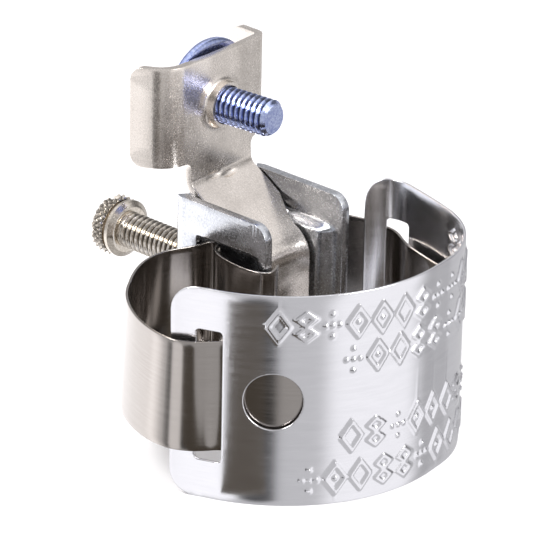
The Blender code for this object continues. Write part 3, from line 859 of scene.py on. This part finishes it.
def make_terminal_screw():
    """Slotted pan head behind the washer, with the thread through the plate's tapped collar."""
    seat = -(PLATE_SHEET / 2 + WASHER_GAP + WASHER_SHEET + FIT_GAP)
    top = seat - PAN_HEIGHT
    edge = arc_points((PAN_RADIUS - PAN_ROUNDING, top + PAN_ROUNDING), PAN_ROUNDING, 0, -90, 8)
    tip = TERMINAL_TIP
    shank = [(THREAD_RADIUS - THREAD_CHAMFER, tip), (THREAD_RADIUS, tip - THREAD_CHAMFER)]
    shank.append((THREAD_RADIUS, seat))
    head = [(PAN_RADIUS - 0.2, seat), (PAN_RADIUS, seat - 0.2), *edge, (0, top)]
    profile = [(0, tip)] + dense(shank, THREAD_PITCH / 12) + dense(head, 0.6)

    def relief(radius, angle, height):
        if height < seat + 0.01:
            return radius
        return min(radius, thread_radius(angle, height))

    body = turned(profile, THREAD_STEPS, relief)
    screw = new_object("terminal_screw_turned", stand(body, terminal_matrix()))
    reach = PAN_RADIUS + 1
    half = DRIVER_SLOT_WIDTH / 2
    low, high = (-reach, -half, top - 1), (reach, half, top + DRIVER_SLOT_DEPTH)
    return cut_slot(screw, terminal_matrix(), low, high)


# Materials.


class Shade:
    """A material, or the world, and short calls for the nodes in it."""

    def __init__(self, name, owner=None):
        self.owner = owner or bpy.data.materials.new(name)
        self.owner.use_nodes = True
        self.tree = self.owner.node_tree

    def add(self, kind, **settings):
        """A new node. A setting is one of its properties, or the value of one of its inputs."""
        node = self.tree.nodes.new(kind)
        for key, value in settings.items():
            if hasattr(node, key):
                setattr(node, key, value)
            else:
                node.inputs[key.replace("_", " ")].default_value = value
        return node

    def link(self, source, target):
        self.tree.links.new(source, target)

    def noise(self, vector, scale, detail=3.0, roughness=0.55):
        node = self.add("ShaderNodeTexNoise", Scale=scale, Detail=detail, Roughness=roughness)
        self.link(vector, node.inputs["Vector"])
        return node.outputs["Fac"]

    def remap(self, value, source, target, kind="LINEAR"):
        node = self.add("ShaderNodeMapRange", interpolation_type=kind)
        self.link(value, node.inputs["Value"])
        for name, number in zip(("From Min", "From Max", "To Min", "To Max"), (*source, *target)):
            node.inputs[name].default_value = number
        return node.outputs["Result"]

    def math(self, operation, first, second):
        node = self.add("ShaderNodeMath", operation=operation)
        for i, value in enumerate((first, second)):
            if isinstance(value, (int, float)):
                node.inputs[i].default_value = value
            else:
                self.link(value, node.inputs[i])
        return node.outputs[0]

    def blend(self, factor, dark, light):
        node = self.add("ShaderNodeMix", data_type="RGBA")
        self.link(factor, node.inputs["Factor"])
        node.inputs["A"].default_value = (*dark, 1.0)
        node.inputs["B"].default_value = (*light, 1.0)
        return node.outputs["Result"]


def place_coordinate(shade):
    """The surface's own place, in metres."""
    return shade.add("ShaderNodeTexCoord").outputs["Object"]


def flat_coordinate(shade, along, across):
    """The place on the flat blank, stretched along and across it."""
    uv = shade.add("ShaderNodeUVMap", uv_map="flat")
    mapping = shade.add("ShaderNodeMapping")
    mapping.inputs["Scale"].default_value = (along, across, 1.0)
    shade.link(uv.outputs["UV"], mapping.inputs["Vector"])
    return mapping.outputs["Vector"]


def shadow_grooves(shade, colour):
    """Painted shade: the colour, darkened towards the bottom of threads and knurls."""
    depth = shade.add("ShaderNodeAttribute", attribute_name="groove").outputs["Fac"]
    kept = shade.remap(depth, (0.15, 0.9), (1.0, GROOVE_SHADE_TONE))
    scaled = shade.add("ShaderNodeVectorMath", operation="SCALE")
    shade.link(colour, scaled.inputs[0])
    shade.link(kept, scaled.inputs["Scale"])
    return scaled.outputs["Vector"]


def metal(name, tones, roughness, grain, cloud, bump, metallic=1.0, coat=0.0):
    """A plated metal with fine speckle, broad clouding, painted shade at the bottom of threads and knurls,
    and a slightly uneven surface.

    tones are the speckle's dark and light colours, roughness its range, grain and cloud the number of
    speckles and clouds in a metre, and bump the speckle's height in metres.
    """
    shade = Shade(name)
    shader = shade.tree.nodes["Principled BSDF"]
    shader.inputs["Metallic"].default_value = metallic
    shader.inputs["Coat Weight"].default_value = coat
    spot = place_coordinate(shade)
    speckle = shade.noise(spot, grain, 4.0, 0.65)
    clouds = shade.noise(spot, cloud, 3.0, 0.5)
    mixed = shade.math("ADD", shade.math("MULTIPLY", speckle, 0.6), shade.math("MULTIPLY", clouds, 0.4))
    colour = shade.blend(shade.remap(mixed, (0.38, 0.6), (0, 1)), *tones)
    shade.link(shadow_grooves(shade, colour), shader.inputs["Base Color"])
    shade.link(shade.remap(mixed, (0.4, 0.6), roughness), shader.inputs["Roughness"])
    raised = shade.add("ShaderNodeBump", Strength=1.0, Distance=bump)
    shade.link(shade.math("ADD", speckle, shade.math("MULTIPLY", clouds, 2.0)), raised.inputs["Height"])
    shade.link(raised.outputs["Normal"], shader.inputs["Normal"])
    return shade.owner


def brushed(name, tones, roughness, along, across, bump, anisotropy):
    """Sheet brushed along its length, with streaks much longer than they are wide.

    along and across are the number of streaks in 100 mm of the flat sheet.
    """
    shade = Shade(name)
    shader = shade.tree.nodes["Principled BSDF"]
    shader.inputs["Metallic"].default_value = 1.0
    shader.inputs["Anisotropic"].default_value = anisotropy
    shader.inputs["Anisotropic Rotation"].default_value = 0.25
    tangent = shade.add("ShaderNodeTangent", direction_type="UV_MAP", uv_map="flat")
    shade.link(tangent.outputs["Tangent"], shader.inputs["Tangent"])
    streaks = shade.noise(flat_coordinate(shade, along, across), 1.0, 4.0, 0.7)
    broad = shade.noise(flat_coordinate(shade, along * 2.0, across * 0.06), 1.0, 2.0, 0.5)
    mixed = shade.math("ADD", shade.math("MULTIPLY", streaks, 0.7), shade.math("MULTIPLY", broad, 0.3))
    colour = shade.blend(shade.remap(mixed, (0.35, 0.65), (0, 1)), *tones)
    shade.link(colour, shader.inputs["Base Color"])
    shade.link(shade.remap(mixed, (0.35, 0.65), roughness), shader.inputs["Roughness"])
    raised = shade.add("ShaderNodeBump", Strength=1.0, Distance=bump)
    shade.link(streaks, raised.inputs["Height"])
    shade.link(raised.outputs["Normal"], shader.inputs["Normal"])
    return shade.owner


# Light.


def card(shade, direction, azimuth, elevation, reach, change):
    """A soft-edged card in the studio, seen only by what it lights: it adds change to the light there."""
    turn, rise = math.radians(azimuth), math.radians(elevation)
    aim = (math.sin(turn) * math.cos(rise), -math.cos(turn) * math.cos(rise), math.sin(rise))
    dot = shade.add("ShaderNodeVectorMath", operation="DOT_PRODUCT")
    shade.link(direction, dot.inputs[0])
    dot.inputs[1].default_value = aim
    edges = (math.cos(math.radians(reach[1])), math.cos(math.radians(reach[0])))
    return shade.remap(dot.outputs["Value"], edges, (0.0, change), "SMOOTHSTEP")


def build_world():
    """The studio: an even pale surround with the cards' light added to it and taken from it."""
    world = bpy.context.scene.world or bpy.data.worlds.new("studio")
    bpy.context.scene.world = world
    shade = Shade("studio", world)
    shade.tree.nodes.clear()
    direction = shade.add("ShaderNodeTexCoord").outputs["Generated"]
    total = STUDIO_BASE
    for settings in STUDIO_CARDS:
        total = shade.math("ADD", total, card(shade, direction, *settings))
    total = shade.math("MAXIMUM", total, STUDIO_DARKEST)
    tinted = shade.add("ShaderNodeVectorMath", operation="SCALE")
    tinted.inputs[0].default_value = STUDIO_TINT
    shade.link(total, tinted.inputs["Scale"])
    background = shade.add("ShaderNodeBackground")
    shade.link(tinted.outputs["Vector"], background.inputs["Color"])
    output = shade.add("ShaderNodeOutputWorld")
    shade.link(background.outputs["Background"], output.inputs["Surface"])


def soft_light(name, spot, width, power, colour):
    """A round area light, its width in millimetres, at a drawing point and aimed at the clamp's middle."""
    data = bpy.data.lights.new(name, "AREA")
    data.shape = "DISK"
    data.size = width * MM
    data.energy = power
    data.color = colour
    light = bpy.data.objects.new(name, data)
    bpy.context.scene.collection.objects.link(light)
    light.location = place(spot)
    aim = place(CAMERA_TARGET) - light.location
    light.rotation_euler = aim.to_track_quat("-Z", "Y").to_euler()


def build_floor():
    """A plain pale floor under the bracket's lower edge. Reflections see the studio instead."""
    mesh = bmesh.new()
    bmesh.ops.create_grid(mesh, x_segments=8, y_segments=8, size=FLOOR_REACH)
    floor = new_object("floor", mesh)
    floor.location.z = ORIGIN.z
    shade = Shade("pale_floor")
    shader = shade.tree.nodes["Principled BSDF"]
    shader.inputs["Base Color"].default_value = FLOOR_COLOUR
    shader.inputs["Roughness"].default_value = 0.9
    floor.data.materials.append(shade.owner)
    floor.visible_glossy = False


def build_shades():
    """Dark parts of the table, inside the clamp and before the tag, which only reflections see."""
    shade = Shade("shaded_table")
    shader = shade.tree.nodes["Principled BSDF"]
    shader.inputs["Base Color"].default_value = (0.0, 0.0, 0.0, 1.0)
    shader.inputs["Specular IOR Level"].default_value = 0.0
    shader.inputs["Emission Color"].default_value = SHADE_COLOUR
    shader.inputs["Emission Strength"].default_value = SHADE_LIGHT
    (x0, y0), (wide, long) = SHADE_CENTRE, SHADE_REACH
    ellipse = [(x0 + wide * x, y0 + long * y) for x, y in circle((0, 0), 1)]
    half = BRACKET_WIDTH / 2
    behind = rounded_box((BRACKET_BACK_X, -half), (BRACKET_FRONT_X, half), BRACKET_CORNER_RADIUS)
    patches = [("shade_in_loops", ellipse), ("shade_in_bracket", behind)]
    patches.append(("shade_before_tag", SHADE_BEFORE_TAG))
    for step, (name, outline) in enumerate(patches):
        mesh = bmesh.new()
        fill(mesh, [outline])
        for vert in mesh.verts:
            vert.co = place((vert.co.x, vert.co.y, SHADE_STEP * (step + 1)))
        patch = new_object(name, mesh)
        patch.data.materials.append(shade.owner)
        patch.visible_camera = False
        patch.visible_diffuse = False
        patch.visible_shadow = False


def build_camera():
    """A camera aimed at the clamp's middle, with no shift and no depth of field."""
    turn, rise, roll = (math.radians(a) for a in (CAMERA_AZIMUTH, CAMERA_ELEVATION, CAMERA_ROLL))
    back = Vector((math.sin(turn) * math.cos(rise), -math.cos(turn) * math.cos(rise), math.sin(rise)))
    level = Vector((math.cos(turn), math.sin(turn), 0.0))
    upward = back.cross(level)
    right = level * math.cos(roll) + upward * math.sin(roll)
    up = upward * math.cos(roll) - level * math.sin(roll)
    data = bpy.data.cameras.new("camera")
    data.lens = CAMERA_LENS
    data.sensor_width = 36.0
    data.clip_start = 0.01
    camera = bpy.data.objects.new("camera", data)
    bpy.context.scene.collection.objects.link(camera)
    basis = Matrix((right, up, back)).transposed().to_4x4()
    spot = place(Vector(CAMERA_TARGET) + CAMERA_DISTANCE * back)
    camera.matrix_world = Matrix.Translation(spot) @ basis
    bpy.context.scene.camera = camera


def main():
    bpy.context.scene.view_settings.view_transform = "Standard"
    zinc = metal("bright_zinc", ZINC_TONES, (0.18, 0.28), 2600, 300, 0.000008)
    nickel = metal("warm_nickel", NICKEL_TONES, (0.18, 0.28), 3600, 220, 0.000008, 0.94)
    screw_nickel = metal("screw_nickel", SCREW_TONES, (0.14, 0.26), 3000, 300, 0.00001)
    blue = metal("blue_zinc", BLUE_TONES, (0.10, 0.2), 2600, 240, 0.000005, 1.0, 0.3)
    band = brushed("strap_steel", STRAP_TONES, (0.14, 0.20), 12, 260, 0.0000003, 0.1)
    tag = brushed("brushed_aluminium", TAG_TONES, (0.15, 0.22), 9, 1500, 0.0000008, 0.2)

    dress(make_bracket(), zinc, "root", "bracket")
    dress(make_strap(), band, "root", "strap")
    dress(make_tag(), tag, "identification_tag", "identification_tag")
    dress(make_terminal_plate(), nickel, "terminal_plate", "terminal_plate")
    dress(make_clamp_screw(), screw_nickel, "clamp_screw", "clamp_screw")
    dress(make_terminal_washer(), blue, "terminal_washer", "terminal_washer")
    dress(make_terminal_screw(), blue, "terminal_screw", "terminal_screw")

    build_world()
    build_floor()
    build_shades()
    for settings in SOFT_LIGHTS:
        soft_light(*settings)
    build_camera()


main()
bpy.context.view_layer.update()
